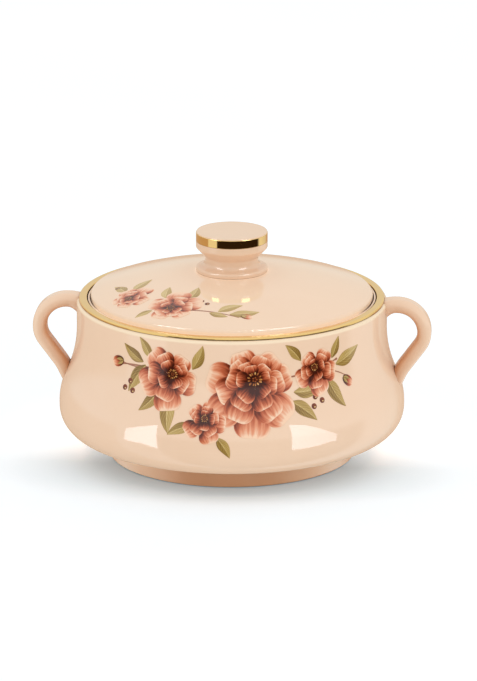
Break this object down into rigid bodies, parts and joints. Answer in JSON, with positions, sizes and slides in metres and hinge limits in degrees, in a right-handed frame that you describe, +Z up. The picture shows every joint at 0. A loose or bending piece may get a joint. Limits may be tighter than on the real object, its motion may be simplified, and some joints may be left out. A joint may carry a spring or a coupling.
{
  "type": "insulated casserole",
  "caption": "Round insulated serving casserole with a steel bowl, two ear handles and a domed lift-off lid with a banded knob.",
  "frame": {"origin": "centre of the underside, on the surface that the casserole stands on", "axes": "+Z up along the axis of the bowl and lid, +X along the two handles"},
  "size_m": [0.2794, 0.2422, 0.1603],
  "materials": {
    "peach_gloss": "gloss",
    "peach_foot": "satin",
    "gold": "polished",
    "steel": "satin",
    "steel_screw": "satin",
    "brass_insert": "satin",
    "silicone": "matte",
    "foot_rubber": "matte",
    "foam": "matte",
    "plug_plastic": "matte"
  },
  "bodies": {
    "pot": {"outer_shell": "peach_gloss", "base_cover": "peach_foot", "base_screws": "steel_screw", "foot_pads": "foot_rubber", "fill_plug": "plug_plastic", "foam_core": "foam", "steel_liner": "steel", "rim_gasket": "silicone", "rim_ring": "gold", "right_handle": "peach_gloss", "left_handle": "peach_gloss", "handle_screws": "steel_screw", "handle_washers": "steel_screw"},
    "seal": {"lid_seal": "silicone"},
    "lid": {"lid_cover": "peach_gloss", "lid_liner": "steel", "lid_foam": "foam", "knob_body": "peach_gloss", "knob_band": "gold", "knob_cap": "peach_gloss", "knob_insert": "brass_insert", "knob_screw": "steel_screw", "knob_washer": "steel_screw"}
  },
  "joints": [
    {"name": "lid_lift", "type": "slide", "parent": "pot", "child": "seal", "axis": [0, 0, 1], "range_m": [0, 0.15]},
    {"name": "lid_turn", "type": "hinge", "parent": "seal", "child": "lid", "pos_m": [0, 0, 0.12], "axis": [0, 0, 1], "continuous": true}
  ]
}
